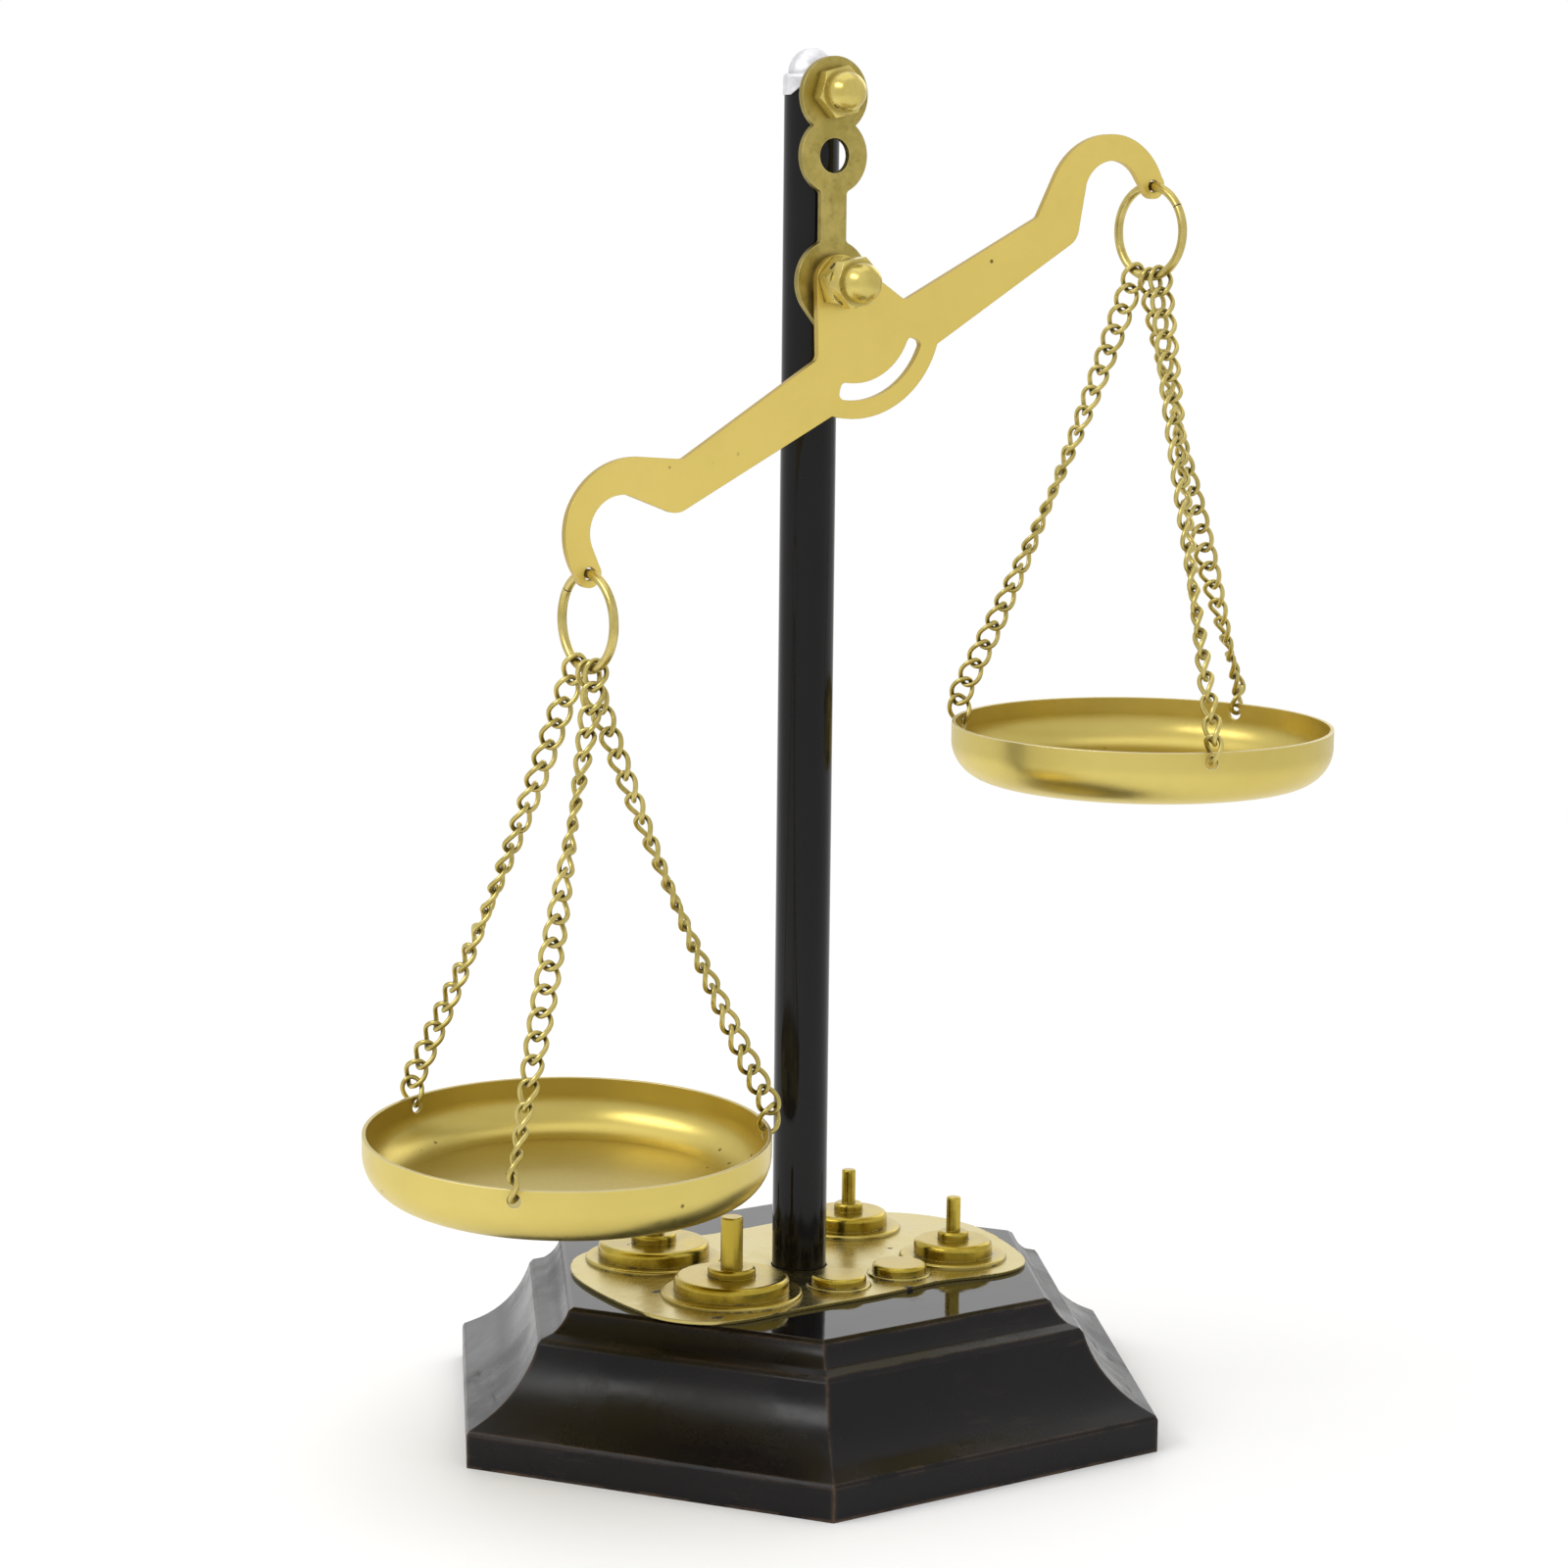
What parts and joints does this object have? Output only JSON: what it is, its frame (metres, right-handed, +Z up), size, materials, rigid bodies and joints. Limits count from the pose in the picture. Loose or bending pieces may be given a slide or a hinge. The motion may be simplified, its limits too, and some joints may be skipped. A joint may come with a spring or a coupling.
{
  "type": "equal arm balance scale",
  "caption": "Tabletop equal arm balance scale: hexagonal black plinth with moulded dummy weights, post, tilting brass beam and chain-hung pans.",
  "frame": {"origin": "on the resting surface at the middle of the plinth's underside, on the axis of the post", "axes": "+Z up, +X along the beam towards the pan that hangs high at rest, -Y the front with the pivot nuts"},
  "size_m": [0.2341, 0.1502, 0.2985],
  "materials": {
    "black_lacquered_wood": "high-gloss black lacquer, rubbed through to brown on the edges",
    "gold_painted_plastic": "satin gold paint, chipped to dark along the edges",
    "black_gloss_paint": "gloss black paint",
    "silver_paint": "pale silver paint",
    "gold_paint": "satin gold paint with small chips",
    "satin_brass": "satin, light gold, with darker cut edges",
    "pan_brass": "satin with a polished rim and a few small pits",
    "dark_brass": "tarnished, mottled olive",
    "ring_brass": "tarnished with rubbed bright spots",
    "chain_brass": "antique, dark in the crevices",
    "steel": "plain zinc-coated"
  },
  "bodies": {
    "stand": {"plinth": "black_lacquered_wood", "weight_tray": "gold_painted_plastic", "post_tube": "black_gloss_paint", "post_plug": "steel", "post_cap": "silver_paint", "base_plug": "steel", "base_washer": "steel", "base_bolt": "steel", "hanger_saddle": "black_gloss_paint", "hanger_stud": "steel", "suspension_link": "dark_brass", "pivot_washer": "dark_brass", "pivot_nut": "gold_paint", "pivot_bolt": "steel", "brass_cap_nuts": "gold_paint"},
    "beam": {"beam": "satin_brass"},
    "left_ring": {"left_ring": "ring_brass"},
    "left_pan": {"left_pan": "pan_brass", "left_chain_front": "chain_brass", "left_chain_middle": "chain_brass", "left_chain_rear": "chain_brass"},
    "right_ring": {"right_ring": "ring_brass"},
    "right_pan": {"right_pan": "pan_brass", "right_chain_front": "chain_brass", "right_chain_middle": "chain_brass", "right_chain_rear": "chain_brass"}
  },
  "joints": [
    {"name": "beam_tilt", "type": "hinge", "parent": "stand", "child": "beam", "pos_m": [0, -0.01125, 0.2492], "axis": [0, 1, 0], "range_deg": [0, 58.6]},
    {"name": "left_ring_hang", "type": "hinge", "parent": "beam", "child": "left_ring", "pos_m": [-0.06095, -0.01125, 0.18942], "axis": [0, 1, 0], "range_deg": [-58.6, 0]},
    {"name": "left_pan_swing", "type": "hinge", "parent": "left_ring", "child": "left_pan", "pos_m": [-0.06095, -0.01125, 0.17942], "axis": [0.9986, 0.0523, 0], "range_deg": [-20, 20]},
    {"name": "right_ring_hang", "type": "hinge", "parent": "beam", "child": "right_ring", "pos_m": [0.08277, -0.01125, 0.27008], "axis": [0, 1, 0], "range_deg": [-58.6, 0]},
    {"name": "right_pan_swing", "type": "hinge", "parent": "right_ring", "child": "right_pan", "pos_m": [0.08277, -0.01125, 0.26008], "axis": [0.9903, 0.1392, 0], "range_deg": [-20, 20]}
  ],
  "couplings": [
    {"joint": "left_ring_hang", "follows": "beam_tilt", "ratio": -1},
    {"joint": "right_ring_hang", "follows": "beam_tilt", "ratio": -1}
  ]
}
